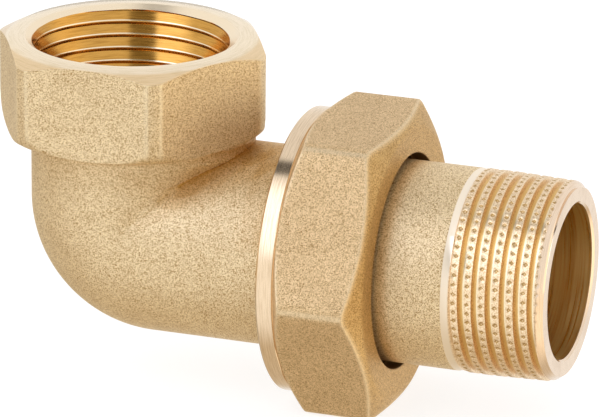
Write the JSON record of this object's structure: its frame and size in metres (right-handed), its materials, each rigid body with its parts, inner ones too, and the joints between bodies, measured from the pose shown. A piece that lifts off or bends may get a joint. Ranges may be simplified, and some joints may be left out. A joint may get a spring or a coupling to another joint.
{
  "type": "union elbow fitting",
  "caption": "Brass right-angle pipe union: hexagon female socket, elbow, union nut and threaded male tail on a flat washer.",
  "frame": {"origin": "centre of the female port's face", "axes": "+Z out of the female port, +X along the male tail, away from the body"},
  "size_m": [0.0992, 0.0532, 0.0573],
  "materials": {
    "body_brass": "fine shot-blasted forging with turned face and threads",
    "nut_brass": "fine shot-blasted forging with a turned band",
    "tail_brass": "shot-blasted neck, bright turned thread and bore",
    "washer_rubber": "matt"
  },
  "bodies": {
    "elbow": {"elbow_body": "body_brass"},
    "washer": {"sealing_washer": "washer_rubber"},
    "tail": {"tail_piece": "tail_brass"},
    "nut": {"union_nut": "nut_brass"}
  },
  "joints": [
    {"name": "union_slide", "type": "slide", "parent": "elbow", "child": "washer", "axis": [1, 0, 0], "range_m": [0, 0.0081]},
    {"name": "tail_swivel", "type": "hinge", "parent": "washer", "child": "tail", "pos_m": [0.06, 0, -0.0332], "axis": [1, 0, 0], "continuous": true},
    {"name": "nut_turn", "type": "hinge", "parent": "washer", "child": "nut", "pos_m": [0.04, 0, -0.0332], "axis": [1, 0, 0], "range_deg": [0, 1260]}
  ],
  "couplings": [
    {"joint": "union_slide", "follows": "nut_turn", "m_per_rad": 0.0003675}
  ]
}
